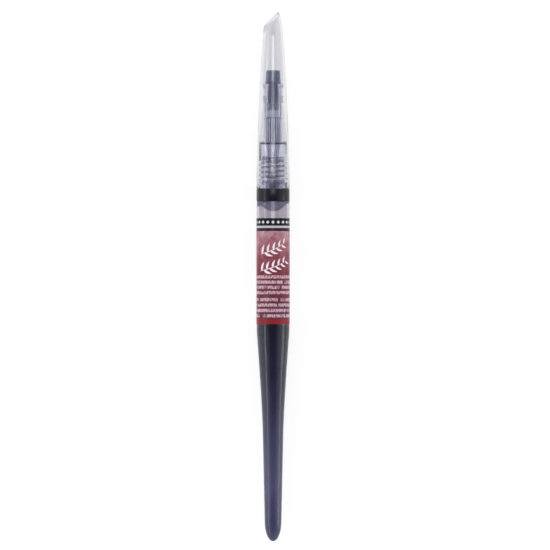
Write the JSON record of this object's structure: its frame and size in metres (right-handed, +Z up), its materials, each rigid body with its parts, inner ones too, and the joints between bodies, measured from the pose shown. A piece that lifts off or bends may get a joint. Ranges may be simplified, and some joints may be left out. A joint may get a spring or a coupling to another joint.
{
  "type": "brush pen",
  "caption": "Capped brush pen with a clear tapered ink barrel, printed label sleeve, black spacer ring and a fluted-feed brush head under a slant-ended clear cap.",
  "frame": {"origin": "on the table under the middle of the pen's length, with the pen lying on its label", "axes": "+X along the pen from the tail to the cap's tip, +Z up through the front of the label, -Y to the side where the cap's slanted end is longest"},
  "size_m": [0.19, 0.012, 0.0121],
  "materials": {
    "barrel_plastic": "clear, faintly grey, soft squeezable plastic with a gloss skin",
    "label_film": "printed film wrapped round the barrel, satin",
    "ink": "black ink, wet gloss",
    "stopper_plastic": "milky white plastic",
    "spacer_plastic": "black plastic, satin",
    "clear_plastic": "water-clear moulded plastic, polished",
    "gasket_rubber": "dark grey rubber, stained by ink",
    "feed_plastic": "translucent blue-grey plastic with ink in its flutes",
    "wick_fibre": "porous pale fibre, a little inked",
    "ferrule_plastic": "dark plastic collar",
    "bristle_fibre": "fine nylon bristles soaked in ink",
    "tip_seal_plastic": "dark blue-black plastic, gloss"
  },
  "bodies": {
    "barrel": {"barrel": "barrel_plastic", "label": "label_film", "ink_charge": "ink", "neck_stopper": "stopper_plastic"},
    "gasket": {"neck_gasket": "gasket_rubber"},
    "brush_head": {"head_skirt": "clear_plastic", "nozzle": "clear_plastic", "feed_core": "feed_plastic", "flow_wick": "wick_fibre", "tuft_ferrule": "ferrule_plastic", "bristle_tuft": "bristle_fibre"},
    "cap": {"cap_shell": "clear_plastic", "inner_cap": "clear_plastic", "tip_seal": "tip_seal_plastic"},
    "spacer": {"spacer_ring": "spacer_plastic"}
  },
  "joints": [
    {"name": "head_lift", "type": "slide", "parent": "barrel", "child": "gasket", "axis": [1, 0, 0], "range_m": [0, 0.00875]},
    {"name": "head_turn", "type": "hinge", "parent": "gasket", "child": "brush_head", "pos_m": [0.03703, 0, 0.00603], "axis": [1, 0, 0], "range_deg": [0, 1801]},
    {"name": "cap_pull", "type": "slide", "parent": "brush_head", "child": "cap", "axis": [1, 0, 0], "range_m": [0, 0.06]},
    {"name": "spacer_slide", "type": "slide", "parent": "barrel", "child": "spacer", "axis": [1, 0, 0], "range_m": [0, 0.00876]}
  ],
  "couplings": [
    {"joint": "head_turn", "follows": "head_lift", "rad_per_m": 3590.4},
    {"joint": "spacer_slide", "follows": "head_lift", "ratio": 1}
  ]
}
